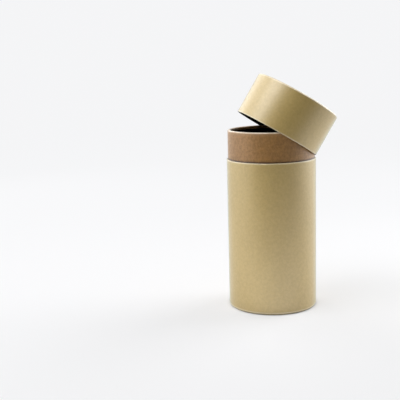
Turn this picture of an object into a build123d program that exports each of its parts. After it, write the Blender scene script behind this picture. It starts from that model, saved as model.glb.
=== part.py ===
from build123d import *

import os
from math import cos, degrees, pi, radians, sin, sqrt, tan

# A cylindrical gift box of wound paperboard: a wrapped outer tube on a rolled foot, an inner tube
# that stands in it and rises past its top as a neck, and a lid that is tipped on the neck's edge.
# Every wall is wound or wrapped from separate sheets, and each sheet, ply and disc is its own piece.
# The origin is the centre of the foot, on the tube's axis, and +Z is up.

# Overall sizes
tube_diameter = 83.0
body_height = 140.0
lid_height = 40.0
neck_rise = 27.4

# Sheets and boards
wrap_paper = 0.16
body_ply_board = 0.45
lid_ply_board = 0.19
neck_ply_board = 0.4
lining_paper = 0.1
facing_paper = 0.15
disc_board = 1.5
glue_line = 0.03

# Rolled ends of the outer tube and of the lid: the flat is the ring that the tube stands on
curl_roll = 1.3
curl_flat = 0.6
curl_tuck = 1.7

# Rolled mouth of the neck
mouth_roll = 1.5
mouth_flat = 0.2
mouth_tuck = 1.5

# Where the wrapping paper laps over its own start, behind: turns about the axes of the rolled ends
lap_width = 9.0
body_lap_turn = 264.0
lid_lap_turn = 82.0

# Rounded edges: the folds of the paper over the tube's and the lid's cut ends, and a punched disc's rim
shoulder_fold = 0.45
rim_fold = 0.35
disc_break = 0.25

# Fits: the lid's bore over the neck, and the discs in their tubes
lid_clearance = 0.6
disc_clearance = 0.05

# The tipped lid: its lean from the upright, which way it leans, and its gap to what it rests on
lid_lean = 31.3
lean_heading = 13.6
perch_gap = 0.1

# Numbers of points tried around and over the neck's edge
points_around = 361
points_over = 31

# Radii from the outside inwards
tube_radius = tube_diameter / 2
body_outer_depth = wrap_paper + glue_line
body_inner_depth = body_outer_depth + body_ply_board + glue_line
body_bore_radius = tube_radius - body_inner_depth - body_ply_board
neck_radius = body_bore_radius - glue_line
neck_middle_depth = neck_ply_board + glue_line
neck_inner_depth = neck_middle_depth + neck_ply_board + glue_line
neck_lining_depth = neck_inner_depth + neck_ply_board + glue_line
lid_bore_radius = neck_radius + lid_clearance
lid_outer_depth = wrap_paper + glue_line
lid_inner_depth = lid_outer_depth + lid_ply_board + glue_line
lid_lining_depth = lid_inner_depth + lid_ply_board + glue_line
lid_radius = lid_bore_radius + lining_paper + lid_lining_depth

# Heights of the base's layers above the foot, which the lid's top repeats downwards from its crest
facing_level = curl_roll + curl_tuck + glue_line
disc_level = facing_level + facing_paper + glue_line
inner_paper_level = disc_level + disc_board + glue_line
neck_foot = inner_paper_level + lining_paper + glue_line
neck_top = body_height + neck_rise
neck_length = neck_top - neck_foot

base_disc_radius = body_bore_radius - disc_clearance
lid_disc_radius = lid_bore_radius - disc_clearance


def perch_height(shift, lean):
    """Height of the centre of the lid's rim where the tipped lid rests on the neck's rolled edge.

    The edge is grown by the perch gap. Each of its points has to lie below the plane of the lid's rim
    or inside the lid's bore, and the lid comes down until one of them stops it.
    """
    grown_roll = mouth_roll + perch_gap
    stops = []
    for i in range(points_around):
        around = pi * i / (points_around - 1)
        for j in range(points_over):
            over = pi / 2 * j / (points_over - 1)
            radius = neck_radius - mouth_roll + grown_roll * cos(over)
            height = neck_top - mouth_roll + grown_roll * sin(over)
            x = radius * cos(around)
            y = radius * sin(around)
            stop = height + (x - shift) * tan(lean)
            if abs(y) < lid_bore_radius:
                half_chord = sqrt(lid_bore_radius**2 - y**2)
                stop = min(stop, height - ((x - shift) * cos(lean) + half_chord) / sin(lean))
            stops.append(stop)
    return max(stops)


def section_plane(seat, turn=0.0):
    """Plane through a seat's axis, turned about it: x runs outwards from the axis and y along it."""
    outward = seat.x_dir.rotate(Axis(seat.origin, seat.z_dir), turn)
    return Plane(seat.origin, x_dir=outward, z_dir=outward.cross(seat.z_dir))


def rolled_wall(radius, depth, thickness, length, roll, flat, tuck):
    """Section of one layer of a wall whose end is rolled inwards, with the roll's crest at height zero.

    The layer lies at a depth under the wall's outside, starts a length below the crest, and its end
    is tucked back down past the roll.
    """
    wall = radius - depth
    back = radius - 2 * roll - flat + depth
    tip = -roll - tuck
    inside = depth + thickness
    with BuildSketch() as section:
        with BuildLine():
            outer = FilletPolyline(
                (wall, -length), (wall, -depth), (back, -depth), (back, tip), radius=roll - depth
            )
            inner = FilletPolyline(
                (wall - thickness, -length),
                (wall - thickness, -inside),
                (back + thickness, -inside),
                (back + thickness, tip),
                radius=roll - inside,
            )
            Line(outer @ 0, inner @ 0)
            Line(outer @ 1, inner @ 1)
        make_face()
    return section.sketch


def wrap_section(radius, bore, length, fold):
    """Section of the wrapping paper of a tube, with the crest of its rolled end at height zero.

    It starts at the bore, covers the wall's cut end, folds over its outer edge, and runs down the wall
    and round the roll.
    """
    back = radius - 2 * curl_roll - curl_flat
    tip = -curl_roll - curl_tuck
    inner_roll = curl_roll - wrap_paper
    with BuildSketch() as section:
        with BuildLine():
            outer = FilletPolyline(
                (bore, -length),
                (radius, -length),
                (radius, 0),
                (back, 0),
                (back, tip),
                radius=(fold, curl_roll, curl_roll),
            )
            inner = FilletPolyline(
                (bore, wrap_paper - length),
                (radius - wrap_paper, wrap_paper - length),
                (radius - wrap_paper, -wrap_paper),
                (back + wrap_paper, -wrap_paper),
                (back + wrap_paper, tip),
                radius=(fold - wrap_paper, inner_roll, inner_roll),
            )
            Line(outer @ 0, inner @ 0)
            Line(outer @ 1, inner @ 1)
        make_face()
    return section.sketch


def band(inner_radius, outer_radius, low, high):
    """Section of a plain ring between two radii and two heights."""
    with BuildSketch() as section:
        with BuildLine():
            Polyline(
                (inner_radius, low), (outer_radius, low), (outer_radius, high), (inner_radius, high), close=True
            )
        make_face()
    return section.sketch


# Seats: each has its origin on a tube's axis and looks out of that tube's rolled end
foot_seat = Plane(origin=(0, 0, 0), x_dir=(1, 0, 0), z_dir=(0, 0, -1))
foot_axis = Axis(foot_seat.origin, foot_seat.z_dir)
mouth_seat = Plane.XY.offset(neck_top)

lean = radians(lid_lean)
heading = radians(lean_heading)
lid_shift = neck_radius + perch_gap - lid_bore_radius * cos(lean)
lid_rim_seat = Plane(
    origin=(lid_shift * cos(heading), lid_shift * sin(heading), perch_height(lid_shift, lean)),
    x_dir=(cos(lean) * cos(heading), cos(lean) * sin(heading), -sin(lean)),
    z_dir=(sin(lean) * cos(heading), sin(lean) * sin(heading), cos(lean)),
)
lid_crest_seat = lid_rim_seat.offset(lid_height)
lid_axis = Axis(lid_crest_seat.origin, lid_crest_seat.z_dir)

os.makedirs("parts", exist_ok=True)

# Outer tube

body_board_length = body_height - wrap_paper - glue_line

with BuildPart() as body_ply_inner:
    with BuildSketch(section_plane(foot_seat)):
        add(
            rolled_wall(
                tube_radius,
                body_inner_depth,
                body_ply_board,
                body_board_length,
                curl_roll,
                curl_flat,
                curl_tuck,
            )
        )
    revolve(axis=Axis.Z)
body_ply_inner.part.label = "body_ply_inner"
export_step(body_ply_inner.part, "parts/body_ply_inner.step")

with BuildPart() as body_ply_outer:
    with BuildSketch(section_plane(foot_seat)):
        add(
            rolled_wall(
                tube_radius,
                body_outer_depth,
                body_ply_board,
                body_board_length,
                curl_roll,
                curl_flat,
                curl_tuck,
            )
        )
    revolve(axis=Axis.Z)
    end_edges = body_ply_outer.edges().filter_by(GeomType.CIRCLE).group_by(Axis.Z)[-1]
    fillet(end_edges.sort_by(SortBy.RADIUS)[-1], shoulder_fold - body_outer_depth)
body_ply_outer.part.label = "body_ply_outer"
export_step(body_ply_outer.part, "parts/body_ply_outer.step")

# The wrap is turned over the tube's cut end at the shoulder and laps over itself behind
body_lap_angle = degrees(lap_width / tube_radius)

with BuildPart() as body_wrap:
    with BuildSketch(section_plane(foot_seat)):
        add(wrap_section(tube_radius, body_bore_radius, body_height, shoulder_fold))
    revolve(axis=Axis.Z)
    with BuildSketch(section_plane(foot_seat, body_lap_turn)):
        add(band(tube_radius - wrap_paper, tube_radius + wrap_paper, shoulder_fold - body_height, -curl_roll))
    revolve(axis=foot_axis, revolution_arc=body_lap_angle)
body_wrap.part.label = "body_wrap"
export_step(body_wrap.part, "parts/body_wrap.step")

# Neck: the inner tube stands on the base inside the outer tube and rises past its shoulder

with BuildPart() as neck_ply_outer:
    with BuildSketch(section_plane(mouth_seat)):
        add(rolled_wall(neck_radius, 0, neck_ply_board, neck_length, mouth_roll, mouth_flat, mouth_tuck))
    revolve(axis=Axis.Z)
neck_ply_outer.part.label = "neck_ply_outer"
export_step(neck_ply_outer.part, "parts/neck_ply_outer.step")

with BuildPart() as neck_ply_middle:
    with BuildSketch(section_plane(mouth_seat)):
        add(
            rolled_wall(
                neck_radius,
                neck_middle_depth,
                neck_ply_board,
                neck_length,
                mouth_roll,
                mouth_flat,
                mouth_tuck,
            )
        )
    revolve(axis=Axis.Z)
neck_ply_middle.part.label = "neck_ply_middle"
export_step(neck_ply_middle.part, "parts/neck_ply_middle.step")

with BuildPart() as neck_ply_inner:
    with BuildSketch(section_plane(mouth_seat)):
        add(
            rolled_wall(
                neck_radius,
                neck_inner_depth,
                neck_ply_board,
                neck_length,
                mouth_roll,
                mouth_flat,
                mouth_tuck,
            )
        )
    revolve(axis=Axis.Z)
neck_ply_inner.part.label = "neck_ply_inner"
export_step(neck_ply_inner.part, "parts/neck_ply_inner.step")

# The lining ends just under the roll, where the tucked edge hides its top
with BuildPart() as neck_lining:
    with BuildSketch(section_plane(mouth_seat)):
        add(
            band(
                neck_radius - neck_lining_depth - lining_paper,
                neck_radius - neck_lining_depth,
                -neck_length,
                -mouth_roll,
            )
        )
    revolve(axis=Axis.Z)
neck_lining.part.label = "neck_lining"
export_step(neck_lining.part, "parts/neck_lining.step")

# Base: a board disc with a sheet on each face, between the rolled foot and the neck tube

with BuildPart() as base_disc_facing:
    with BuildSketch(Plane.XY.offset(facing_level)):
        Circle(base_disc_radius)
    extrude(amount=facing_paper)
base_disc_facing.part.label = "base_disc_facing"
export_step(base_disc_facing.part, "parts/base_disc_facing.step")

with BuildPart() as base_disc:
    with BuildSketch(Plane.XY.offset(disc_level)):
        Circle(base_disc_radius)
    extrude(amount=disc_board)
    chamfer(base_disc.edges().filter_by(GeomType.CIRCLE), disc_break)
base_disc.part.label = "base_disc"
export_step(base_disc.part, "parts/base_disc.step")

with BuildPart() as base_disc_lining:
    with BuildSketch(Plane.XY.offset(inner_paper_level)):
        Circle(base_disc_radius)
    extrude(amount=lining_paper)
base_disc_lining.part.label = "base_disc_lining"
export_step(base_disc_lining.part, "parts/base_disc_lining.step")

# Lid: cut from a like tube, with its rolled end upwards and its cut end as the rim

lid_board_length = lid_height - wrap_paper - glue_line

with BuildPart() as lid_ply_inner:
    with BuildSketch(section_plane(lid_crest_seat)):
        add(
            rolled_wall(
                lid_radius,
                lid_inner_depth,
                lid_ply_board,
                lid_board_length,
                curl_roll,
                curl_flat,
                curl_tuck,
            )
        )
    revolve(axis=lid_axis)
lid_ply_inner.part.label = "lid_ply_inner"
export_step(lid_ply_inner.part, "parts/lid_ply_inner.step")

with BuildPart() as lid_ply_outer:
    with BuildSketch(section_plane(lid_crest_seat)):
        add(
            rolled_wall(
                lid_radius,
                lid_outer_depth,
                lid_ply_board,
                lid_board_length,
                curl_roll,
                curl_flat,
                curl_tuck,
            )
        )
    revolve(axis=lid_axis)
    rim_edges = lid_ply_outer.edges().filter_by(GeomType.CIRCLE).group_by(lid_axis)[0]
    fillet(rim_edges.sort_by(SortBy.RADIUS)[-1], rim_fold - lid_outer_depth)
lid_ply_outer.part.label = "lid_ply_outer"
export_step(lid_ply_outer.part, "parts/lid_ply_outer.step")

lid_lap_angle = degrees(lap_width / lid_radius)

with BuildPart() as lid_wrap:
    with BuildSketch(section_plane(lid_crest_seat)):
        add(wrap_section(lid_radius, lid_bore_radius, lid_height, rim_fold))
    revolve(axis=lid_axis)
    with BuildSketch(section_plane(lid_crest_seat, lid_lap_turn)):
        add(band(lid_radius - wrap_paper, lid_radius + wrap_paper, rim_fold - lid_height, -curl_roll))
    revolve(axis=lid_axis, revolution_arc=lid_lap_angle)
lid_wrap.part.label = "lid_wrap"
export_step(lid_wrap.part, "parts/lid_wrap.step")

with BuildPart() as lid_lining:
    with BuildSketch(section_plane(lid_crest_seat)):
        add(
            band(
                lid_bore_radius,
                lid_bore_radius + lining_paper,
                wrap_paper + glue_line - lid_height,
                -facing_level,
            )
        )
    revolve(axis=lid_axis)
lid_lining.part.label = "lid_lining"
export_step(lid_lining.part, "parts/lid_lining.step")

with BuildPart() as lid_disc_facing:
    with BuildSketch(lid_crest_seat.offset(-facing_level)):
        Circle(lid_disc_radius)
    extrude(amount=-facing_paper)
lid_disc_facing.part.label = "lid_disc_facing"
export_step(lid_disc_facing.part, "parts/lid_disc_facing.step")

with BuildPart() as lid_disc:
    with BuildSketch(lid_crest_seat.offset(-disc_level)):
        Circle(lid_disc_radius)
    extrude(amount=-disc_board)
    chamfer(lid_disc.edges().filter_by(GeomType.CIRCLE), disc_break)
lid_disc.part.label = "lid_disc"
export_step(lid_disc.part, "parts/lid_disc.step")

with BuildPart() as lid_disc_lining:
    with BuildSketch(lid_crest_seat.offset(-inner_paper_level)):
        Circle(lid_disc_radius)
    extrude(amount=-lining_paper)
lid_disc_lining.part.label = "lid_disc_lining"
export_step(lid_disc_lining.part, "parts/lid_disc_lining.step")
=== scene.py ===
"""Dresses a wound paperboard gift tube, whose lid lies tipped on its neck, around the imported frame.

Every sheet, ply and disc of the box is a section turned about its tube's axis. The sections are
worked out with numpy from the sizes below and from the frame, in metres, and the finishes are nodes.
"""

import logging
from abc import ABC, abstractmethod
from collections.abc import Iterable
from dataclasses import dataclass
from enum import Enum
from functools import partial, reduce
from math import ceil, cos, pi, radians, sin, tan

import bpy
import numpy as np
from mathutils import Matrix, Vector


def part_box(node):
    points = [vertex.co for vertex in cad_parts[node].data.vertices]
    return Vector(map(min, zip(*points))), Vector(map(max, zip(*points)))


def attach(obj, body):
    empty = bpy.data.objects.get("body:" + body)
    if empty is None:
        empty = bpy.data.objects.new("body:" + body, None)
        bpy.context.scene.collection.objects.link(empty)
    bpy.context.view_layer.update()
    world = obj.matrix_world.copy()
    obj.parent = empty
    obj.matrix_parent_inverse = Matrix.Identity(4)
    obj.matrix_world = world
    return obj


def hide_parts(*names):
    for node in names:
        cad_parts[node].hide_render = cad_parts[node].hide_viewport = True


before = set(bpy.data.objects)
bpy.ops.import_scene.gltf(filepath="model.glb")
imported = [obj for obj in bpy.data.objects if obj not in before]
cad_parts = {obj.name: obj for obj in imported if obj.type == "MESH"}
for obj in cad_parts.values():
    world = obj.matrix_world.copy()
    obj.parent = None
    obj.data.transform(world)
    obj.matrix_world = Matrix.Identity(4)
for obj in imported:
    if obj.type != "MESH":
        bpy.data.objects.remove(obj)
LOG = logging.getLogger("gift_tube")
MM = 0.001

Array = np.ndarray
Place = tuple[float, float]
Span = tuple[float, float]
Triple = tuple[float, float, float]
Object = bpy.types.Object
Material = bpy.types.Material
Socket = bpy.types.NodeSocket


class Slot(Enum):
    """The record's material slots."""

    WRAP = "cream_wrap"
    KRAFT = "kraft_board"
    LINING = "black_lining"
    BOARD = "disc_board"


class Body(Enum):
    """The two bodies of the box: the standing tube and its loose lid."""

    TUBE = "tube"
    LID = "lid"


class Ray(Enum):
    """Kinds of ray that see the studio's white surroundings instead of its plain light."""

    CAMERA = "Is Camera Ray"
    GLOSSY = "Is Glossy Ray"
    TRANSMISSION = "Is Transmission Ray"


# How finely the meshes are divided: steps along a section, and columns round it
ARC_STEPS = 12
WALL_STEP = 2.5 * MM
HIDDEN_STEP = 12 * MM
FINE_TURNS = 384
HIDDEN_TURNS = 192
LAP_SLOPE_COLUMNS = 6
SHARP_TURN = radians(50)

# Points added near a mark: their step, their reach, and the share of a step that is no distance
MARK_STEP = 0.25 * MM
MARK_ROOM = 2.2 * MM
CLOSE = 0.1

# Unevenness: waves round the tube, their drift along it in radians a metre, and depths
HOLLOW_WAVES = (2, 3, 5, 9)
HOLLOW_DRIFT = 30.0
PUCKER_WAVES = (31, 47, 74)
PUCKER_DEPTH = 0.05 * MM

# A lap's cut edge and its far slope, and how deep the outer face of a wall goes
CUT_EDGE = 0.02 * MM
LAP_EASE = 1.5 * MM
WALL_SKIN = 0.3 * MM

# A sheet's and a board's thickness over the radius of its eased corners
SHEET_EASE = 3
BOARD_EASE = 6

# What a mesh carries for its finish: how strongly a place is pale from rubbing, with a painted highlight,
# and how strongly it is darkened by painted shade
RUB_AND_HIGHLIGHT = "wear_and_highlight"
PAINTED_SHADE = "painted_shade"

TINY = 1e-12


# Sections and turned meshes


def straight(start: Array, end: Array, step: float) -> Array:
    """Points of a straight run without its start, in equal steps no longer than the given one."""
    count = max(1, ceil(float(np.linalg.norm(end - start)) / step))
    return start + (end - start) * np.linspace(0, 1, count + 1)[1:, None]


def rounded(corners: list[Place], radii: list[float], step: float) -> Array:
    """Samples a line through corners whose inner ones are rounded by arcs.

    Each arc touches both of its runs, so it starts its radius times the tangent of half the turn
    before the corner. Runs are divided into equal steps, and arcs into equal small turns.

    Args:
        corners: The line's points as radius and height.
        radii: One radius for each inner corner.
        step: The longest step along a straight run.

    Returns:
        The sampled points, one per row.
    """
    points = np.array(corners, float)
    stations = [points[:1]]
    last = points[0]
    for before, corner, after, radius in zip(points[:-2], points[1:-1], points[2:], radii):
        into = (corner - before) / np.linalg.norm(corner - before)
        out = (after - corner) / np.linalg.norm(after - corner)
        turn = np.arctan2(into[0] * out[1] - into[1] * out[0], into @ out)
        reach = radius * tan(abs(turn) / 2)
        left = np.array([-into[1], into[0]]) * np.sign(turn)
        centre = corner - into * reach + left * radius
        stations.append(straight(last, corner - into * reach, step))
        angles = np.linspace(0, turn, ARC_STEPS + 1)[1:]
        cosine, sine = np.cos(angles), np.sin(angles)
        spoke = -left * radius
        swung = (spoke[0] * cosine - spoke[1] * sine, spoke[0] * sine + spoke[1] * cosine)
        stations.append(centre + np.column_stack(swung))
        last = corner + out * reach
    stations.append(straight(last, points[-1], step))
    return np.vstack(stations)


def band(inner: float, outer: float, low: float, high: float, ease: float) -> Array:
    """Closed section of a plain ring, with its corners eased.

    Args:
        inner: Inner radius.
        outer: Outer radius.
        low: Lower height.
        high: Upper height.
        ease: The radius of the eased corners.

    Returns:
        The section's points as radius and height.
    """
    middle = (low + high) / 2
    corners = [(outer, middle), (outer, high), (inner, high), (inner, low), (outer, low), (outer, middle)]
    return rounded(corners, [ease] * 4, WALL_STEP)[:-1]


def disc_section(radius: float, thickness: float, ease: float) -> Array:
    """Section of a disc from the middle of its upper face, at height zero, round its eased rim."""
    corners = [(0.0, 0.0), (radius, 0.0), (radius, -thickness), (0.0, -thickness)]
    return rounded(corners, [ease, ease], WALL_STEP)


def travelled(section: Array) -> Array:
    """Distance along a section at each of its points."""
    return np.concatenate([[0.0], np.cumsum(np.linalg.norm(np.diff(section, axis=0), axis=1))])


def divided(section: Array, places: tuple[Place, ...]) -> Array:
    """Adds points along a section near some places, so that a narrow mark across it has room there.

    Points stand at equal steps along the section wherever it passes within a mark's room of a place.

    Args:
        section: Points in order along the section.
        places: The marks' places as radius and height.

    Returns:
        The same section with more points.
    """
    along = travelled(section)
    even = np.arange(0.0, along[-1], MARK_STEP)
    points = np.column_stack([np.interp(even, along, section[:, axis]) for axis in (0, 1)])
    distance = np.min([np.linalg.norm(points - place, axis=1) for place in places], axis=0)
    stops = np.unique(np.concatenate([along, even[distance < MARK_ROOM]]))
    stops = stops[np.append(True, np.diff(stops) > CLOSE * MARK_STEP)]
    return np.column_stack([np.interp(stops, along, section[:, axis]) for axis in (0, 1)])


def signed_turn(section: Array) -> float:
    """Plus one where a section runs anticlockwise in radius and height, and minus one otherwise."""
    following = np.roll(section, -1, axis=0)
    return float(np.sign(np.sum(section[:, 0] * following[:, 1] - following[:, 0] * section[:, 1])))


def outward(section: Array) -> Array:
    """Unit normals of a section: its tangents turned by a right angle, to the side away from the sheet.

    Args:
        section: Points in order round a closed section.

    Returns:
        One normal for each point.
    """
    tangent = np.roll(section, -1, axis=0) - np.roll(section, 1, axis=0)
    tangent /= np.linalg.norm(tangent, axis=1, keepdims=True) + TINY
    return np.column_stack([tangent[:, 1], -tangent[:, 0]]) * signed_turn(section)


@dataclass(frozen=True)
class Seat:
    """A tube's end: a point on its axis, the way the axis runs out of it, and where angle zero points."""

    origin: Vector
    axis: Vector
    start: Vector

    def place(self, radius: Array, height: Array, angle: Array) -> Array:
        """Turns radii, heights and angles about the axis into points of the row frame.

        Each point is the origin plus its height along the axis, its radius times the cosine along
        the start direction, and its radius times the sine along the side direction.

        Args:
            radius: Distances from the axis.
            height: Distances along the axis from the seat's point.
            angle: Angles from the start direction, by the right-hand rule about the axis.

        Returns:
            The points, with their three coordinates in the last dimension.
        """
        across, along, side = radius * np.cos(angle), radius * np.sin(angle), self.axis.cross(self.start)
        parts = ((height, self.axis), (across, self.start), (along, side))
        return sum((amount[..., None] * np.array(way) for amount, way in parts), np.array(self.origin))

    def lowered(self, depth: float) -> "Seat":
        """The same seat, moved back along its axis by a depth."""
        return Seat(self.origin - self.axis * depth, self.axis, self.start)


@dataclass(frozen=True)
class Layer:
    """One sheet or ply of a wall, in metres.

    Its length runs from the crest of the rolled end to its other end, where its outer face starts at a
    radius of its own and is rounded by a fold. A start at the outside leaves that end square.
    """

    radius: float
    depth: float
    thickness: float
    length: float
    start: float
    fold: float = 0.0


@dataclass(frozen=True)
class Curl:
    """A tube end rolled inwards: its outer roll, the flat of its crest and its tucked edge, in metres."""

    roll: float
    flat: float
    tuck: float

    def on_roll(self, radius: float, turn: float) -> Place:
        """The place on the roll's outside at a turn from the wall, where a right angle is the crest."""
        return radius - self.roll * (1 - cos(turn)), -self.roll * (1 - sin(turn))

    def section(self, layer: Layer, step: float) -> Array:
        """Closed section of one layer of a wall, from its other end round the roll to its tucked edge.

        The layer's two faces are lines parallel to the wall's outside, rounded by the roll less their
        depth. At the other end the outer face starts with a fold, and so does the inner one where the
        sheet is turned in over the ends of the layers inside it.

        Args:
            layer: The layer's place in the wall and its own sizes.
            step: The longest step along straight runs.

        Returns:
            The section's points as radius and height, in order round it.
        """
        faces = []
        turned = layer.start < layer.radius - layer.depth - layer.thickness
        for inset in (layer.depth, layer.depth + layer.thickness):
            wall = layer.radius - inset
            back = layer.radius - 2 * self.roll - self.flat + inset
            rise = (inset - layer.depth) if turned else 0.0
            end = rise - layer.length
            corners = [(wall, end), (wall, -inset), (back, -inset), (back, -self.roll - self.tuck)]
            bends = [self.roll - inset] * 2
            if layer.start < wall:
                corners.insert(0, (layer.start, end))
                bends.insert(0, layer.fold - rise)
            faces.append(rounded(corners, bends, step))
        return np.vstack([faces[0], faces[1][::-1]])


@dataclass(frozen=True)
class Mark:
    """Where a section is pale from rubbing with a painted highlight, or darkened by painted shade: places
    as radius and height, and how far the mark reaches.
    """

    places: tuple[Place, ...] = ()
    reach: float = 0.7 * MM

    def strength(self, section: Array) -> Array:
        """Strength of the mark: one at its places, falling as a bell curve of the distance from them.

        Args:
            section: The section's points.

        Returns:
            One strength for each point, about a third at the reach.
        """
        total = np.zeros(len(section))
        for place in self.places:
            distance = np.linalg.norm(section - place, axis=1)
            total = np.maximum(total, np.exp(-((distance / self.reach) ** 2)))
        return total


@dataclass(frozen=True)
class Relief:
    """The small unevenness of a wound or rolled sheet, in metres, and its lap's turn in radians.

    The hollows are slow sines round the tube that drift along it, and the puckers are quicker ones,
    strongest at the crest. Both only go inwards, so that no sheet outgrows its solid.
    """

    seed: int = 0
    hollow: float = 0.03 * MM
    pucker: float = 0.0
    pucker_reach: float = 1.6 * MM
    lap: float = 0.0
    lap_turn: float = 0.0

    def hollows(self, angle: Array, height: Array) -> Array:
        """Depth of the slow hollows, from nothing to the full hollow.

        Args:
            angle: Angles round the tube.
            height: Heights along it.

        Returns:
            Depths in metres.
        """
        rng = np.random.default_rng(self.seed)
        total = np.zeros(angle.shape)
        for waves in HOLLOW_WAVES:
            phase, drift = rng.uniform(0, 2 * pi), rng.uniform(-1, 1) * HOLLOW_DRIFT
            total += np.sin(waves * angle + phase + drift * height) / len(HOLLOW_WAVES)
        return self.hollow * (0.5 + 0.5 * total)

    def puckers(self, angle: Array, height: Array) -> Array:
        """Depth of the puckers of a rolled end, whose crest is at height zero.

        Args:
            angle: Angles round the tube.
            height: Heights along it.

        Returns:
            Depths in metres.
        """
        rng = np.random.default_rng(self.seed + 1)
        total = np.zeros(angle.shape)
        for waves in PUCKER_WAVES:
            total += np.sin(waves * angle + rng.uniform(0, 2 * pi)) / len(PUCKER_WAVES)
        near = np.exp(-((height / self.pucker_reach) ** 2))
        return self.pucker * (0.5 + 0.5 * total) * near

    def lapped(self, angle: Array, radius: float) -> Array:
        """Height of the lap: from its cut edge at angle zero one sheet's thickness, then a soft slope."""
        past = np.clip((self.lap_turn - angle) * radius / LAP_EASE, 0, 1)
        return self.lap * (angle > 0) * past * past * (3 - 2 * past)


@dataclass
class Turned:
    """A sheet, ply or disc: a section turned once about a seat's axis into one closed mesh.

    Its node is the CAD node that it stands for, and with its form it makes the piece's name.
    """

    node: str
    form: str
    section: Array
    seat: Seat
    body: Body
    slot: Slot
    relief: Relief
    turns: int = FINE_TURNS
    # Marks: places pale from rubbing with a painted highlight, and places darkened by painted shade
    rub_and_highlight: Mark = Mark()
    shade_mark: Mark = Mark()
    poles: bool = False

    def reach(self) -> float:
        """The piece's greatest radius."""
        return self.section[:, 0].max()

    def angles(self) -> Array:
        """The mesh's columns: even turns, with a few more where a lap's edge and slope are.

        Returns:
            Angles in order, from nought.
        """
        even = np.linspace(0, 2 * pi, self.turns, endpoint=False)
        if not self.relief.lap:
            return even
        edge = np.array([CUT_EDGE, 3 * CUT_EDGE]) / self.reach()
        slope = self.relief.lap_turn - np.linspace(0, 1, LAP_SLOPE_COLUMNS) * LAP_EASE / self.reach()
        return np.unique(np.concatenate([even, edge, slope]))

    def grid(self) -> tuple[Array, Array, Array]:
        """Radius, height and angle of each vertex: rows run round the tube and columns along the section.

        Each point moves inwards by the hollows, and against its normal by the puckers. Points on the
        outer wall move outwards by the lap.

        Returns:
            The three arrays, all of one shape.
        """
        section = self.section
        normal = outward(section)
        angle = np.repeat(self.angles()[:, None], len(section), axis=1)
        height = np.broadcast_to(section[:, 1], angle.shape)
        radius = np.broadcast_to(section[:, 0], angle.shape)
        slack = self.relief.hollows(angle, height) * np.minimum(radius / self.reach(), 1.0)
        dent = self.relief.puckers(angle, height)
        on_wall = (section[:, 0] > self.reach() - WALL_SKIN) & (section[:, 1] < -WALL_SKIN)
        raised = self.relief.lapped(angle, self.reach()) * np.clip(normal[:, 0], 0, 1) * on_wall
        radius = radius - slack - dent * normal[:, 0] + raised
        return radius, height - dent * normal[:, 1], angle

    def mesh(self) -> bpy.types.Mesh:
        """Builds the mesh: quads between neighbouring columns, and triangles to the poles of a disc.

        Its UV map is the flat sheet in metres, the greatest radius times the angle round it by the
        distance travelled along the section.

        Returns:
            The closed mesh.
        """
        radius, height, angle = self.grid()
        points = self.seat.place(radius, height, angle)
        index = np.arange(radius.size).reshape(radius.shape)
        loop = self.section
        if self.poles:
            index[:, [0, -1]] = index[0, [0, -1]]
        else:
            index = np.hstack([index, index[:, :1]])
            loop = np.vstack([loop, loop[:1]])
        ahead = np.roll(index, -1, axis=0)
        quads = np.stack([index[:, :-1], ahead[:, :-1], ahead[:, 1:], index[:, 1:]], axis=-1)
        near = angle[:, 0] * self.reach()
        far = np.append(near[1:], 2 * pi * self.reach())
        along = travelled(loop)
        across = np.stack([near, far, far, near], axis=-1)[:, None]
        down = np.stack([along[:-1], along[:-1], along[1:], along[1:]], axis=-1)
        uv = np.stack(np.broadcast_arrays(across, down), axis=-1)
        if signed_turn(self.section) < 0:
            quads, uv = quads[:, :, ::-1], uv[:, :, ::-1]
        return self.fill(points.reshape(-1, 3), quads.reshape(-1, 4), uv.reshape(-1, 4, 2))

    def fill(self, points: Array, quads: Array, uv: Array) -> bpy.types.Mesh:
        """Puts points and faces into a mesh, with its UV map and the strengths of its marks.

        Args:
            points: All vertices, some of which the poles leave unused.
            quads: Four vertex numbers a face, two of them alike where a face meets a pole.
            uv: The flat place of each corner in metres.

        Returns:
            The closed mesh.
        """
        keep = quads != np.roll(quads, 1, axis=1)
        used, renumbered = np.unique(quads[keep], return_inverse=True)
        totals = keep.sum(axis=1)
        mesh = bpy.data.meshes.new(self.name())
        mesh.vertices.add(len(used))
        mesh.vertices.foreach_set("co", points[used].ravel())
        mesh.loops.add(len(renumbered))
        mesh.loops.foreach_set("vertex_index", renumbered)
        mesh.polygons.add(len(totals))
        starts = np.concatenate([[0], np.cumsum(totals)[:-1]])
        mesh.polygons.foreach_set("loop_start", starts)
        mesh.polygons.foreach_set("loop_total", totals)
        mesh.polygons.foreach_set("use_smooth", np.ones(len(totals), bool))
        layer = mesh.uv_layers.new(name="sheet")
        layer.uv.foreach_set("vector", uv[keep].ravel())
        # Each mark's strength: rubbing with its painted highlight, and painted shade
        for name, mark in ((RUB_AND_HIGHLIGHT, self.rub_and_highlight), (PAINTED_SHADE, self.shade_mark)):
            layer = mesh.attributes.new(name, "FLOAT", "POINT")
            layer.data.foreach_set("value", mark.strength(self.section)[used % len(self.section)])
        mesh.update(calc_edges=True)
        mesh.validate()
        mesh.set_sharp_from_angle(angle=SHARP_TURN)
        return mesh

    def name(self) -> str:
        """The piece's name."""
        return f"{self.node}_{self.form}"

    def dress(self, papers: dict[Slot, Material]) -> Object:
        """Makes the piece's object, gives it its finish, and hangs it on its body in place of its node.

        Args:
            papers: The material of each slot.

        Returns:
            The new object.
        """
        piece = put(self.name(), self.mesh())
        piece.data.materials.append(papers[self.slot])
        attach(piece, self.body.value)
        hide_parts(self.node)
        return piece


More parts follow.
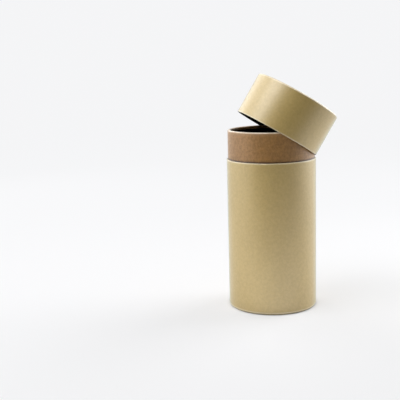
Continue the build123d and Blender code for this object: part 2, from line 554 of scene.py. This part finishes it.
def put(name: str, data: bpy.types.ID) -> Object:
    """Adds an object to the scene.

    Args:
        name: The object's name.
        data: Its mesh, lamp or camera.

    Returns:
        The new object.
    """
    thing = bpy.data.objects.new(name, data)
    bpy.context.scene.collection.objects.link(thing)
    return thing


def heading(angle: float) -> Vector:
    """The level direction at an angle in degrees from +X towards +Y."""
    return Vector((cos(radians(angle)), sin(radians(angle)), 0.0))


# Sizes of the box


@dataclass(frozen=True)
class Stock:
    """The sheets and boards that the box is made from, and how its ends are rolled."""

    wrap: float = 0.16 * MM
    body_ply: float = 0.45 * MM
    lid_ply: float = 0.19 * MM
    neck_ply: float = 0.4 * MM
    lining: float = 0.1 * MM
    facing: float = 0.15 * MM
    disc: float = 1.5 * MM
    glue: float = 0.03 * MM
    shoulder_fold: float = 0.45 * MM
    rim_fold: float = 0.35 * MM
    lap: float = 9.0 * MM
    disc_play: float = 0.05 * MM
    lid_clearance: float = 0.6 * MM
    end_curl: Curl = Curl(1.3 * MM, 0.6 * MM, 1.7 * MM)
    mouth_curl: Curl = Curl(1.5 * MM, 0.2 * MM, 1.5 * MM)

    def recess(self) -> float:
        """Depth of a disc's facing under the crest of the rolled end that holds it."""
        return self.end_curl.roll + self.end_curl.tuck + self.glue

    def base_height(self) -> float:
        """Height of the inside of the base, on which the inner tube stands."""
        return self.recess() + self.facing + self.disc + self.lining + 3 * self.glue


@dataclass(frozen=True)
class Sizes:
    """Radii and heights of the box, read from the frame."""

    stock: Stock
    radius: float
    shoulder: float
    neck_radius: float
    neck_top: float
    lid_height: float = 40 * MM

    @classmethod
    def of_frame(cls, stock: Stock) -> "Sizes":
        """Reads the tube's and the neck's boxes, whose widths across X are their diameters.

        Args:
            stock: The sheets, boards and rolls.

        Returns:
            The box's sizes.
        """
        body_low, body_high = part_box("body_wrap")
        neck_low, neck_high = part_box("neck_ply_outer")
        radius, neck_radius = (body_high.x - body_low.x) / 2, (neck_high.x - neck_low.x) / 2
        return cls(stock, radius, body_high.z, neck_radius, neck_high.z)

    def bore(self) -> float:
        """Inner radius of the outer tube."""
        return self.neck_radius + self.stock.glue

    def lid_bore(self) -> float:
        """Inner radius of the lid."""
        return self.neck_radius + self.stock.lid_clearance


# Sub-assemblies


class SubAssembly(ABC):
    """A group of the box's pieces that are built and dressed together."""

    @abstractmethod
    def pieces(self) -> list[Turned]:
        """All its pieces, from the outside inwards."""

    def dress(self, papers: dict[Slot, Material]) -> list[Object]:
        """Builds its pieces in order and gives each the material of its slot."""
        return [piece.dress(papers) for piece in self.pieces()]


@dataclass(frozen=True)
class Wall:
    """A wrapped tube's wall: its outside, length, bore and ply, the fold at its open end, and its step."""

    radius: float
    length: float
    bore: float
    ply: float
    fold: float
    step: float


@dataclass
class WrappedTube(SubAssembly):
    """Two wound plies under a lapped wrap, which is turned in over them at the tube's open end."""

    sizes: Sizes
    body = Body.TUBE
    seed = 0

    @abstractmethod
    def wall(self) -> Wall:
        """The sizes of its wall."""

    @abstractmethod
    def seat(self) -> Seat:
        """The crest of its rolled end, from which its sections are measured as negative heights."""

    def wrap(self, node: str, rub_and_highlight: Mark, shade_mark: Mark = Mark()) -> Turned:
        """The wrapping paper.

        Args:
            node: The CAD node that it stands for.
            rub_and_highlight: Where it is pale from rubbing, with a painted highlight.
            shade_mark: Where it is darkened by painted shade.

        Returns:
            The piece.
        """
        wall, stock = self.wall(), self.sizes.stock
        layer = Layer(wall.radius, 0.0, stock.wrap, wall.length, wall.bore, wall.fold)
        section = divided(stock.end_curl.section(layer, wall.step), rub_and_highlight.places + shade_mark.places)
        turn = stock.lap / wall.radius
        relief = Relief(self.seed, pucker=PUCKER_DEPTH, lap=stock.wrap, lap_turn=turn)
        seat, turns = self.seat(), FINE_TURNS
        return Turned(node, "sheet", section, seat, self.body, Slot.WRAP, relief, turns, rub_and_highlight, shade_mark)

    def ply(self, order: int, node: str) -> Turned:
        """One wound ply.

        Args:
            order: Its place from the outside, counted from nought.
            node: The CAD node that it stands for.

        Returns:
            The piece.
        """
        wall, stock = self.wall(), self.sizes.stock
        under = stock.wrap + stock.glue
        depth = under + order * (wall.ply + stock.glue)
        start = wall.radius - depth - (wall.ply / 2 if order == 0 else 0.0)
        layer = Layer(wall.radius, depth, wall.ply, wall.length - under, start, wall.fold - under)
        section = stock.end_curl.section(layer, HIDDEN_STEP)
        seat, relief = self.seat(), Relief(self.seed)
        return Turned(node, "board", section, seat, self.body, Slot.KRAFT, relief, HIDDEN_TURNS)


@dataclass
class OuterTube(WrappedTube):
    """The visible body, from its rolled foot up to its folded shoulder, with its angles in degrees."""

    lap_heading: float = 96.0
    # Where the rubbing sits below the shoulder's and the foot's edges, and how far it reaches: it pales
    # them with a painted highlight
    rub_and_highlight_below: float = 0.4 * MM
    edge_rub_and_highlight: float = 0.5 * MM
    # Where the roll under the foot is darkened by painted shade, where it meets the floor: its turn in
    # degrees and its reach
    foot_shade_turn: float = 56.6
    foot_shade_reach: float = 0.7 * MM
    seed = 11

    def wall(self) -> Wall:
        """The wall from the foot to the shoulder."""
        sizes, stock = self.sizes, self.sizes.stock
        ply, fold = stock.body_ply, stock.shoulder_fold
        return Wall(sizes.radius, sizes.shoulder, sizes.bore(), ply, fold, WALL_STEP)

    def seat(self) -> Seat:
        """The foot."""
        return Seat(Vector((0, 0, 0)), Vector((0, 0, -1)), heading(self.lap_heading))

    def pieces(self) -> list[Turned]:
        """The wrap, pale from rubbing at the shoulder and the foot with a painted highlight, darkened by
        painted shade on the underside of the foot's roll, and the plies.

        Returns:
            The pieces.
        """
        wall, curl = self.wall(), self.sizes.stock.end_curl
        # Rubbing with a painted highlight at the shoulder's fold and just above the foot's roll
        shoulder = (wall.radius, self.rub_and_highlight_below - wall.length)
        foot = (wall.radius, -curl.roll - self.rub_and_highlight_below)
        # Painted shade on the underside of the foot's roll, where it meets the floor
        foot_shade = curl.on_roll(wall.radius, radians(self.foot_shade_turn))
        rub_and_highlight, shade_mark = Mark((shoulder, foot), self.edge_rub_and_highlight), Mark((foot_shade,), self.foot_shade_reach)
        wrap = self.wrap("body_wrap", rub_and_highlight, shade_mark)
        return [wrap, self.ply(0, "body_ply_outer"), self.ply(1, "body_ply_inner")]


@dataclass
class NeckTube(SubAssembly):
    """The inner tube: three wound plies with a rolled mouth, lined in black."""

    sizes: Sizes
    seam_heading: float = 84.0
    pucker_reach: float = 2.0 * MM
    # How far the rubbing, with its painted highlight, reaches on the mouth's crest
    mouth_rub_and_highlight: float = 0.9 * MM
    # A line of painted shade on the neck just above the shoulder, where the shoulder's shade falls: its
    # rise and its reach
    shade_line_rise: float = 0.5 * MM
    shoulder_shade_reach: float = 1.0 * MM
    plies = ("neck_ply_outer", "neck_ply_middle", "neck_ply_inner")
    seed = 23

    def seat(self) -> Seat:
        """The crest of the mouth."""
        return Seat(Vector((0, 0, self.sizes.neck_top)), Vector((0, 0, 1)), heading(self.seam_heading))

    def length(self) -> float:
        """From the crest down to the inside of the base."""
        return self.sizes.neck_top - self.sizes.stock.base_height()

    def ply(self, order: int, node: str) -> Turned:
        """One wound ply, pale from rubbing on the mouth's crest with a painted highlight, and darkened by
        a line of painted shade just above the shoulder.

        Args:
            order: Its place from the outside, counted from nought. Only the first one shows.
            node: The CAD node that it stands for.

        Returns:
            The piece.
        """
        stock, radius, shown = self.sizes.stock, self.sizes.neck_radius, order == 0
        curl, depth = stock.mouth_curl, order * (stock.neck_ply + stock.glue)
        layer = Layer(radius, depth, stock.neck_ply, self.length(), radius - depth)
        # The mouth's crest is pale from rubbing, with a painted highlight
        rub_and_highlight = Mark((curl.on_roll(radius, pi / 2), curl.on_roll(radius, pi / 3)), self.mouth_rub_and_highlight)
        # The line of painted shade on the neck above the shoulder
        corner = (radius, self.sizes.shoulder - self.sizes.neck_top + self.shade_line_rise)
        shade_mark = Mark((corner,), self.shoulder_shade_reach)
        if shown:
            section, turns = divided(curl.section(layer, WALL_STEP), shade_mark.places), FINE_TURNS
            relief = Relief(self.seed, pucker=PUCKER_DEPTH, pucker_reach=self.pucker_reach)
        else:
            section, turns, relief = curl.section(layer, HIDDEN_STEP), HIDDEN_TURNS, Relief(self.seed)
        seat, slot = self.seat(), Slot.KRAFT
        return Turned(node, "board", section, seat, Body.TUBE, slot, relief, turns, rub_and_highlight, shade_mark)

    def lining(self) -> Turned:
        """The black paper inside, whose top the tucked edge of the mouth hides.

        Returns:
            The piece.
        """
        stock = self.sizes.stock
        outer = self.sizes.neck_radius - len(self.plies) * (stock.neck_ply + stock.glue)
        low, high = -self.length(), -stock.mouth_curl.roll
        section = band(outer - stock.lining, outer, low, high, stock.lining / SHEET_EASE)
        seat, relief = self.seat(), Relief(self.seed)
        return Turned("neck_lining", "paper", section, seat, Body.TUBE, Slot.LINING, relief)

    def pieces(self) -> list[Turned]:
        """The plies and the lining."""
        return [*(self.ply(order, node) for order, node in enumerate(self.plies)), self.lining()]


@dataclass
class FacedDisc(SubAssembly):
    """A punched board disc with a sheet on each face, held under the rolled end of a tube."""

    stock: Stock
    seat: Seat
    radius: float
    body: Body
    node: str

    def pieces(self) -> list[Turned]:
        """The facing, the board and the lining, each a sheet of glue under the last.

        Returns:
            The pieces.
        """
        stock, depth, pieces = self.stock, self.stock.recess(), []
        relief, turns = Relief(hollow=0.0), HIDDEN_TURNS
        for ending, form, slot, thickness, ease in (
            ("_facing", "paper", Slot.WRAP, stock.facing, stock.facing / SHEET_EASE),
            ("", "board", Slot.BOARD, stock.disc, stock.disc / BOARD_EASE),
            ("_lining", "paper", Slot.LINING, stock.lining, stock.lining / SHEET_EASE),
        ):
            section = disc_section(self.radius, thickness, ease)
            node, seat = self.node + ending, self.seat.lowered(depth)
            pieces.append(Turned(node, form, section, seat, self.body, slot, relief, turns, poles=True))
            depth = depth + thickness + stock.glue
        return pieces


@dataclass
class Lid(WrappedTube):
    """The loose lid: a short length of a like tube, rolled at its top, tipped on the neck's edge.

    Its lean from upright, the heading that it leans to and the turn of its lap are in degrees.
    """

    lean: float = 31.3
    lean_heading: float = 13.6
    lap_turn: float = 82.0
    body = Body.LID
    seed = 41

    def axis(self) -> Vector:
        """The way out of the lid's top."""
        lean = radians(self.lean)
        return heading(self.lean_heading) * sin(lean) + Vector((0, 0, cos(lean)))

    def seat(self) -> Seat:
        """The crest of the rolled top, found from the middle of the lid's disc in the frame.

        Returns:
            The seat, whose start is the lap's cut edge.
        """
        stock, axis = self.sizes.stock, self.axis()
        low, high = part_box("lid_disc")
        right = heading(self.lean_heading + 90).cross(axis)
        depth = stock.recess() + stock.facing + stock.glue + stock.disc / 2
        start = Matrix.Rotation(radians(self.lap_turn), 3, axis) @ right
        return Seat((low + high) / 2 + axis * depth, axis, start)

    def wall(self) -> Wall:
        """The wall from the rolled top to the rim, with its outside found from its bore and layers.

        Returns:
            The sizes of the wall.
        """
        stock, bore, length = self.sizes.stock, self.sizes.lid_bore(), self.sizes.lid_height
        radius = bore + stock.lining + 2 * stock.lid_ply + stock.wrap + 3 * stock.glue
        return Wall(radius, length, bore, stock.lid_ply, stock.rim_fold, WALL_STEP / 2)

    def lining(self) -> Turned:
        """The black paper inside, from the rim up to the disc.

        Returns:
            The piece.
        """
        stock, bore = self.sizes.stock, self.sizes.lid_bore()
        low = stock.wrap + stock.glue - self.sizes.lid_height
        section = band(bore, bore + stock.lining, low, -stock.recess(), stock.lining / SHEET_EASE)
        seat, relief = self.seat(), Relief(self.seed)
        return Turned("lid_lining", "paper", section, seat, self.body, Slot.LINING, relief)

    def pieces(self) -> list[Turned]:
        """The wrap, pale from rubbing at the rim and beside the roll with a painted highlight, the plies,
        the lining and the disc.

        Returns:
            The pieces.
        """
        wall, stock = self.wall(), self.sizes.stock
        # Pale from rubbing, with a painted highlight, along the rim and beside the rolled top
        rubbed_and_highlit = ((wall.radius, -wall.length), (wall.radius, -stock.end_curl.roll / 2))
        disc = FacedDisc(stock, self.seat(), wall.bore - stock.disc_play, self.body, "lid_disc")
        plies = (self.ply(0, "lid_ply_outer"), self.ply(1, "lid_ply_inner"))
        return [self.wrap("lid_wrap", Mark(rubbed_and_highlit)), *plies, self.lining(), *disc.pieces()]


# Finishes


# Sockets of the colour mixing node, which have numbers instead of names of their own
MIX_SHARE, MIX_FIRST, MIX_SECOND, MIXED = 0, 6, 7, 2
WHOLE = (0.0, 1.0)


@dataclass(frozen=True)
class Noise:
    """A noise: its features per metre, its octaves and how strong the finer ones are."""

    scale: float
    detail: float
    rough: float


class NodeBench:
    """Adds nodes to one tree, each by its kind with its settings and inputs, and joins them."""

    def __init__(self, holder: bpy.types.ID) -> None:
        """Gives a material or a world an empty tree.

        Args:
            holder: The material or world.
        """
        holder.use_nodes = True
        holder.node_tree.nodes.clear()
        self.holder = holder
        self.tree = holder.node_tree

    def add(self, kind: str, inputs: dict | None = None, **settings: str) -> bpy.types.Node:
        """Adds a node.

        Args:
            kind: The node's Blender type.
            inputs: By name or number, a socket to join, or a value to set, where a colour is a triple.
            **settings: Its other properties.

        Returns:
            The node.
        """
        node = self.tree.nodes.new(kind)
        for name, value in settings.items():
            setattr(node, name, value)
        for name, value in (inputs or {}).items():
            socket = node.inputs[name]
            if isinstance(value, Socket):
                self.tree.links.new(value, socket)
            else:
                socket.default_value = (*value, 1.0) if socket.type == "RGBA" else value
        return node

    def show(self, shader: bpy.types.Node, output: str = "ShaderNodeOutputMaterial") -> bpy.types.ID:
        """Joins a shader to the tree's output and hands over the finished material or world."""
        self.add(output, {"Surface": shader.outputs[0]})
        return self.holder

    def noise(self, place: Socket, noise: Noise) -> Socket:
        """A noise at a place, about one half."""
        inputs = {"Vector": place, "Scale": noise.scale, "Detail": noise.detail, "Roughness": noise.rough}
        return self.add("ShaderNodeTexNoise", inputs).outputs["Fac"]

    def stretched(self, place: Socket, scale: Triple, turn: Triple) -> Socket:
        """Coordinates turned by degrees and scaled, so that a noise on them draws out into strokes."""
        inputs = {"Vector": place, "Scale": scale, "Rotation": tuple(radians(angle) for angle in turn)}
        return self.add("ShaderNodeMapping", inputs).outputs["Vector"]

    def span(self, value: Socket, over: Span, to: Span) -> Socket:
        """A value with one span of it mapped smoothly onto another."""
        ends = {"Value": value, "From Min": over[0], "From Max": over[1], "To Min": to[0], "To Max": to[1]}
        return self.add("ShaderNodeMapRange", ends, interpolation_type="SMOOTHSTEP").outputs["Result"]

    def reckoned(self, operation: str, *values: Socket | float) -> Socket:
        """The result of an operation of Blender's maths node on sockets or numbers."""
        return self.add("ShaderNodeMath", dict(enumerate(values)), operation=operation).outputs[0]

    def plus(self, first: Socket, second: Socket, share: float) -> Socket:
        """One value plus a share of another."""
        return self.reckoned("MULTIPLY_ADD", second, share, first)

    def strongest(self, values: Iterable[Socket]) -> Socket:
        """The greatest of several values."""
        return reduce(partial(self.reckoned, "MAXIMUM"), values)

    def tint(self, share: Socket, first: Socket | Triple, second: Triple) -> Socket:
        """A colour with a share of a second one blended in."""
        inputs = {MIX_SHARE: share, MIX_FIRST: first, MIX_SECOND: second}
        return self.add("ShaderNodeMix", inputs, data_type="RGBA").outputs[MIXED]

    def bumped(self, height: Socket, depth: float) -> Socket:
        """A normal disturbed by a height from nought to one, over a depth in metres."""
        inputs = {"Height": height, "Strength": 1.0, "Distance": depth}
        return self.add("ShaderNodeBump", inputs).outputs["Normal"]

    def seen(self) -> Socket:
        """One where a camera, glossy or transmission ray arrives, and nought for the rest."""
        path = self.add("ShaderNodeLightPath")
        return self.strongest(path.outputs[kind.value] for kind in Ray)


@dataclass(frozen=True)
class Grain:
    """What all the papers share: noises, the span of each that shows, and the shares they mix in.

    The clouding is the uneven pulp, millimetres to centimetres wide. The fibres are short strokes,
    made by stretching a noise in four directions, with their turns in degrees.
    """

    broad: Noise = Noise(28.0, 3.0, 0.55)
    cloudy: Noise = Noise(420.0, 5.0, 0.6)
    speckled: Noise = Noise(1500.0, 2.0, 0.5)
    stroke: Noise = Noise(1.0, 2.0, 0.5)
    stroke_scale: Triple = (2600.0, 2600.0, 380.0)
    stroke_turns: tuple[Triple, ...] = ((0, 0, 20), (35, 0, 75), (0, 50, 130), (70, 25, 160))
    cloud_span: Span = (0.45, 0.85)
    speck_span: Span = (0.68, 0.76)
    strand_span: Span = (0.52, 0.8)
    gloss_span: Span = (0.5, 1.0)
    # How the clouding breaks up the rubbing with its painted highlight, and the painted shade
    rub_and_highlight_span: Span = (0.35, 0.7)
    rub_and_highlight_levels: Span = (0.6, 1.0)
    shade_span: Span = (0.3, 0.6)
    shade_levels: Span = (0.8, 1.0)
    broad_in_clouding: float = 0.3
    fibres_in_gloss: float = 0.5
    rub_in_gloss: float = -0.1
    cloudy_in_relief: float = 0.7
    sheen_roughness: float = 0.3


@dataclass(frozen=True)
class PaperFinish:
    """A sheet of paper: cloudy formation, fibres, specks, folds pale from rubbing with a painted
    highlight, painted shade and a surface.

    Colours are linear, and the relief is in metres. The pale colour of rubbing, partly a painted
    highlight, and the colour of painted shade show only where a mesh carries such marks.
    """

    slot: Slot
    colour: Triple
    cloud: Triple
    fibre: Triple
    speck_share: float
    roughness: float
    # The pale colour of rubbing is partly a painted highlight, and the dark one is painted shade
    rub_and_highlight: Triple = (1.0, 1.0, 1.0)
    painted_shade: Triple = (0.0, 0.0, 0.0)
    fibre_share: float = 0.4
    roughness_play: float = 0.08
    relief: float = 0.012 * MM
    specular: float = 0.3
    index: float = 1.5
    sheen: float = 0.0
    sheen_tint: Triple = (1.0, 1.0, 1.0)
    grain: Grain = Grain()

    def build(self) -> Material:
        """Makes the material: tints laid over one another, an uneven gloss and a slight relief.

        Returns:
            The material, named for its slot.
        """
        grain, bench = self.grain, NodeBench(bpy.data.materials.new(self.slot.value))
        place = bench.add("ShaderNodeTexCoord").outputs["Object"]
        cloudy = bench.noise(place, grain.cloudy)
        clouding = bench.plus(cloudy, bench.noise(place, grain.broad), grain.broad_in_clouding)
        speckled = bench.noise(place, grain.speckled)
        drawn = (bench.stretched(place, grain.stroke_scale, turn) for turn in grain.stroke_turns)
        fibres = bench.strongest(bench.noise(stroke, grain.stroke) for stroke in drawn)
        # Rubbing pales folds and crests with a painted highlight; painted shade darkens the neck above the
        # shoulder and the foot's underside
        rubbed_and_highlit = self.marked(bench, RUB_AND_HIGHLIGHT, bench.span(cloudy, grain.rub_and_highlight_span, grain.rub_and_highlight_levels))
        shade_mark = self.marked(bench, PAINTED_SHADE, bench.span(cloudy, grain.shade_span, grain.shade_levels))
        colour = bench.tint(bench.span(clouding, grain.cloud_span, WHOLE), self.colour, self.cloud)
        for share, over in (
            (bench.span(fibres, grain.strand_span, (0.0, self.fibre_share)), self.fibre),
            (bench.span(speckled, grain.speck_span, (0.0, self.speck_share)), self.fibre),
            (rubbed_and_highlit, self.rub_and_highlight), (shade_mark, self.painted_shade),
        ):
            colour = bench.tint(share, colour, over)
        play = (self.roughness - self.roughness_play, self.roughness + self.roughness_play)
        rough = bench.span(bench.plus(cloudy, fibres, grain.fibres_in_gloss), grain.gloss_span, play)
        surface = {
            "Base Color": colour,
            "Roughness": bench.plus(rough, rubbed_and_highlit, grain.rub_in_gloss),
            "IOR": self.index,
            "Specular IOR Level": self.specular,
            "Sheen Weight": self.sheen,
            "Sheen Roughness": grain.sheen_roughness,
            "Sheen Tint": self.sheen_tint,
            "Normal": bench.bumped(bench.plus(fibres, cloudy, grain.cloudy_in_relief), self.relief),
        }
        return bench.show(bench.add("ShaderNodeBsdfPrincipled", surface))

    def marked(self, bench: NodeBench, mark: str, broken: Socket) -> Socket:
        """The share of a mark's colour: the strength that the mesh carries, broken up by the clouding."""
        strength = bench.add("ShaderNodeAttribute", attribute_name=mark).outputs["Fac"]
        return bench.reckoned("MULTIPLY", strength, broken)


PAPERS = (
    PaperFinish(
        slot=Slot.WRAP,
        colour=(0.61, 0.435, 0.135), cloud=(0.54, 0.38, 0.11), fibre=(0.7, 0.54, 0.24),
        # The pale colour is partly a painted highlight on folds; the dark one is painted shade at the foot
        rub_and_highlight=(0.92, 0.8, 0.55), painted_shade=(0.09, 0.06, 0.025),
        speck_share=0.3, roughness=0.42, roughness_play=0.05, specular=1.0, index=1.7,
        sheen=0.9, sheen_tint=(0.72, 0.9, 1.0),
    ),
    PaperFinish(
        slot=Slot.KRAFT,
        colour=(0.405, 0.205, 0.055), cloud=(0.26, 0.125, 0.03), fibre=(0.54, 0.31, 0.12),
        # The pale colour is partly a painted highlight with the rubbing on the mouth's crest; the dark one
        # is painted shade above the shoulder
        rub_and_highlight=(1.0, 0.9, 0.72), painted_shade=(0.05, 0.02, 0.006),
        speck_share=0.4, roughness=0.42, fibre_share=0.5, relief=0.02 * MM, specular=0.65,
        index=1.6, sheen=0.35,
    ),
    PaperFinish(
        slot=Slot.LINING,
        colour=(0.008, 0.008, 0.009), cloud=(0.006, 0.006, 0.007), fibre=(0.016, 0.016, 0.017),
        speck_share=0.2, roughness=0.7,
    ),
    PaperFinish(
        slot=Slot.BOARD,
        colour=(0.3, 0.22, 0.14), cloud=(0.24, 0.17, 0.1), fibre=(0.4, 0.31, 0.21),
        speck_share=0.6, roughness=0.8, fibre_share=0.6, relief=0.03 * MM,
    ),
)


@dataclass(frozen=True)
class SweepPaper:
    """Plain pale paper that takes the box's shadow and is partly white by itself to the eye.

    Its own white grows from one share to another over a span of distances from the box's axis, in
    metres, and fades out at the foot, where the box's contact stays dark.
    """

    white: Triple
    colour: Triple = (0.82, 0.82, 0.83)
    roughness: float = 0.9
    specular: float = 0.2
    grain: Noise = Noise(300.0, 4.0, 0.6)
    relief: float = 0.02 * MM
    own_white: Span = (0.55, 0.96)
    own_white_from: Span = (0.05, 0.6)
    contact: Span = (0.0405, 0.0455)

    def build(self) -> Material:
        """Makes the material.

        Returns:
            The material.
        """
        bench = NodeBench(bpy.data.materials.new("sweep_paper"))
        place = bench.add("ShaderNodeTexCoord").outputs["Object"]
        surface = {
            "Base Color": self.colour,
            "Roughness": self.roughness,
            "Specular IOR Level": self.specular,
            "Normal": bench.bumped(bench.noise(place, self.grain), self.relief),
        }
        paper = bench.add("ShaderNodeBsdfPrincipled", surface)
        white = bench.add("ShaderNodeEmission", {"Color": self.white, "Strength": 1.0})
        away = bench.add("ShaderNodeVectorMath", {"Vector": place}, operation="LENGTH").outputs["Value"]
        share = bench.span(away, self.own_white_from, self.own_white)
        share = bench.reckoned("MULTIPLY", share, bench.span(away, self.contact, WHOLE))
        share = bench.reckoned("MULTIPLY", share, bench.seen())
        mixed = {0: share, 1: paper.outputs[0], 2: white.outputs[0]}
        return bench.show(bench.add("ShaderNodeMixShader", mixed))


@dataclass(frozen=True)
class DarkCloth:
    """Dull black cloth."""

    colour: Triple = (0.02, 0.02, 0.02)

    def build(self) -> Material:
        """Makes the material."""
        bench = NodeBench(bpy.data.materials.new("dark_card"))
        return bench.show(bench.add("ShaderNodeBsdfDiffuse", {"Color": self.colour}))


# Studio


@dataclass(frozen=True)
class Softbox:
    """A rectangular lamp behind a diffuser, aimed at a point, in metres and watts."""

    name: str
    place: Triple
    width: float
    height: float
    power: float
    aim: Triple = (0.0, 0.0, 0.1)

    def light(self) -> None:
        """Hangs the lamp, unseen by the camera."""
        lamp = bpy.data.lights.new(self.name, "AREA")
        lamp.shape = "RECTANGLE"
        lamp.size = self.width
        lamp.size_y = self.height
        lamp.energy = self.power
        hung = put(self.name, lamp)
        hung.location = self.place
        hung.rotation_euler = (Vector(self.aim) - Vector(self.place)).to_track_quat("-Z", "Y").to_euler()
        hung.visible_camera = False


@dataclass(frozen=True)
class Viewpoint:
    """The photograph's camera, fitted to the box's edges: metres, degrees, pixels, a sensor in mm."""

    distance: float = 0.72409
    height: float = 0.23423
    yaw: float = -5.359
    pitch: float = 10.413
    roll: float = -1.5955
    focal_pixels: float = 775.96
    frame_pixels: float = 400.0
    sensor: float = 36.0

    def set_up(self) -> None:
        """Adds the camera: it looks level along its yaw, tips down by its pitch and turns by its roll."""
        yaw, pitch, roll = radians(self.yaw), radians(self.pitch), radians(self.roll)
        ahead = Vector((sin(yaw) * cos(pitch), cos(yaw) * cos(pitch), -sin(pitch)))
        right = ahead.cross(Vector((0, 0, 1))).normalized()
        above = right.cross(ahead)
        right, above = right * cos(roll) + above * sin(roll), above * cos(roll) - right * sin(roll)
        data = bpy.data.cameras.new("camera")
        data.sensor_width = self.sensor
        data.lens = self.focal_pixels / self.frame_pixels * self.sensor
        camera = put("camera", data)
        turned = Matrix((right, above, -ahead)).transposed().to_4x4()
        camera.matrix_world = Matrix.Translation((0.0, -self.distance, self.height)) @ turned
        bpy.context.scene.camera = camera


@dataclass(frozen=True)
class Studio:
    """A pale sweep of paper for a floor and backdrop, soft lamps and the photograph's camera.

    Sizes are in metres, and the card is given by its left, right, nearness and top.
    """

    half_width: float = 2.5
    front: float = -2.5
    back: float = 1.6
    bend: float = 0.9
    top: float = 3.2
    sweep_step: float = 0.25
    white: Triple = (0.945, 0.948, 0.96)
    ambient: float = 0.02
    card: tuple[float, float, float, float] = (-0.35, 1.5, -0.36, 0.5)
    lamps: tuple[Softbox, ...] = (
        Softbox("softbox_left", (-0.777, -0.01, 0.45), 0.85, 0.8, 2.0),
        Softbox("softbox_behind", (-0.5, 0.62, 0.5), 0.5, 0.7, 2.5),
        Softbox("softbox_high", (-0.425, -0.29, 0.837), 0.6, 0.6, 4.3),
        Softbox("softbox_right", (0.67, 0.43, 0.48), 0.7, 0.78, 8.3),
        Softbox("softbox_top", (0.0, -0.04, 1.0), 0.9, 0.9, 2.2),
        Softbox("bounce_card", (0.0, -0.14, 0.0005), 0.34, 0.18, 0.08, aim=(0.0, -0.14, 1.0)),
    )

    def carried(self, name: str, line: Array, sides: Span, finish: Material) -> Object:
        """A sheet: a line of depths and heights, carried level across the studio.

        Args:
            name: The sheet's name.
            line: The line's points.
            sides: Where the sheet starts and ends across the studio.
            finish: Its material.

        Returns:
            The sheet.
        """
        points = np.column_stack([np.tile(sides, len(line)), np.repeat(line, 2, axis=0)])
        rows = np.arange(len(line) - 1) * 2
        faces = np.stack([rows, rows + 1, rows + 3, rows + 2], axis=1)
        mesh = bpy.data.meshes.new(name)
        mesh.from_pydata(points.tolist(), [], faces.tolist())
        mesh.polygons.foreach_set("use_smooth", np.ones(len(faces), bool))
        mesh.materials.append(finish)
        return put(name, mesh)

    def sweep(self) -> None:
        """The sweep: a level run, a quarter circle and an upright run."""
        far, sides = self.back + self.bend, (-self.half_width, self.half_width)
        line = rounded([(self.front, 0.0), (far, 0.0), (far, self.top)], [self.bend], self.sweep_step)
        self.carried("sweep", line, sides, SweepPaper(self.white).build())

    def dark_card(self) -> None:
        """A black card before the box, unseen by the camera, for its near side's gloss to reflect."""
        left, right, near, top = self.card
        line = np.array([(near, 0.0), (near, top)])
        card = self.carried("dark_card", line, (left, right), DarkCloth().build())
        card.visible_camera = False

    def surroundings(self) -> None:
        """The world: white to the eye and in reflections, and a plain even light to everything else."""
        world = bpy.data.worlds.new("surroundings")
        bpy.context.scene.world = world
        bench = NodeBench(world)
        level = bench.span(bench.seen(), WHOLE, (self.ambient, 1.0))
        background = bench.add("ShaderNodeBackground", {"Color": self.white, "Strength": level})
        bench.show(background, "ShaderNodeOutputWorld")

    def set_up(self) -> None:
        """Builds the studio and sets the plain view transform."""
        Viewpoint().set_up()
        self.sweep()
        self.dark_card()
        self.surroundings()
        for lamp in self.lamps:
            lamp.light()
        bpy.context.scene.view_settings.view_transform = "Standard"


def main() -> None:
    """Sets up the studio, builds the box from its outside inwards and reports each piece."""
    logging.basicConfig(level=logging.INFO, format="%(message)s")
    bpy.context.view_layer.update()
    stock = Stock()
    sizes = Sizes.of_frame(stock)
    Studio().set_up()
    papers = {paper.slot: paper.build() for paper in PAPERS}
    tube = OuterTube(sizes)
    base = FacedDisc(stock, tube.seat(), sizes.bore() - stock.disc_play, Body.TUBE, "base_disc")
    for part in (tube, NeckTube(sizes), base, Lid(sizes)):
        for piece in part.dress(papers):
            LOG.info("%s, of %s: %d faces", piece.name, type(part).__name__, len(piece.data.polygons))


if __name__ == "__main__":
    main()
